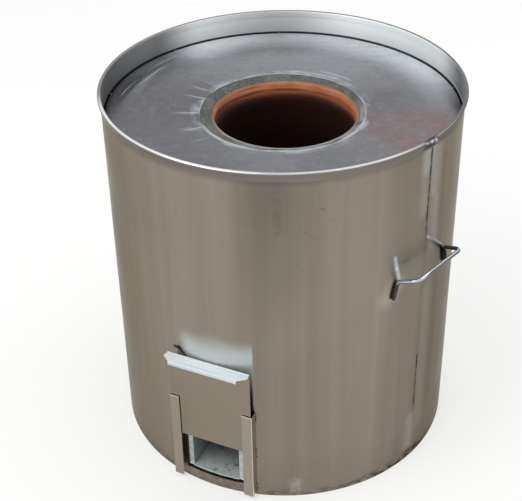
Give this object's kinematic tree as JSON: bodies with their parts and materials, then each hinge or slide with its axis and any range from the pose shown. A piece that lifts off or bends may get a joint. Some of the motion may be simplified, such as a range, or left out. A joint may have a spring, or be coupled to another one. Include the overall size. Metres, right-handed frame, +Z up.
{
  "type": "clay tandoor oven",
  "caption": "Free-standing clay tandoor in an insulated steel drum, with a sunk tray top, a sliding ash gate, two lifting handles and a loose charcoal grate.",
  "frame": {"origin": "centre of the base plate's underside, on the ground, on the axis of the drum", "axes": "+Z up along the drum's axis, -Y to the front, +X to the right as seen from the front; angles round the drum run from the front towards the right"},
  "size_m": [0.7099, 0.7328, 0.76],
  "materials": {
    "drum_steel": "satin",
    "tray_steel": "satin",
    "galvanised_sheet": "satin",
    "rod_steel": "gloss",
    "solder": "satin",
    "weld_scale": "matte",
    "terracotta": "matte",
    "mortar": "matte",
    "fire_brick": "matte",
    "ceramic_wool": "matte",
    "loose_fill": "matte",
    "film": "satin",
    "grate_iron": "matte"
  },
  "bodies": {
    "oven": {"outer_drum": "drum_steel", "rim_band": "drum_steel", "rim_solder": "solder", "top_plate": "tray_steel", "plate_brackets": "drum_steel", "plate_tacks": "solder", "mortar_collar": "mortar", "pot_foot": "terracotta", "pot_belly": "terracotta", "pot_shoulder": "terracotta", "pot_neck": "terracotta", "pot_seal": "mortar", "wool_blanket": "ceramic_wool", "granular_fill": "loose_fill", "base_plate": "drum_steel", "base_ring": "drum_steel", "hearth_bricks": "fire_brick", "duct_channel": "galvanised_sheet", "duct_lid": "galvanised_sheet", "duct_mortar": "mortar", "guide_left": "drum_steel", "guide_right": "drum_steel", "guide_welds": "solder", "handle_right": "rod_steel", "handle_left": "rod_steel", "handle_welds": "weld_scale"},
    "gate": {"gate_panel": "drum_steel", "lip_film": "film"},
    "grate": {"grate_ring": "grate_iron", "grate_bars": "grate_iron", "grate_legs": "grate_iron"}
  },
  "joints": [
    {"name": "gate_slide", "type": "slide", "parent": "oven", "child": "gate", "axis": [0, 0, 1], "range_m": [-0.1055, 0.09]},
    {"name": "grate_lift", "type": "slide", "parent": "oven", "child": "grate", "axis": [0, 0, 1], "range_m": [0, 0.69]}
  ]
}
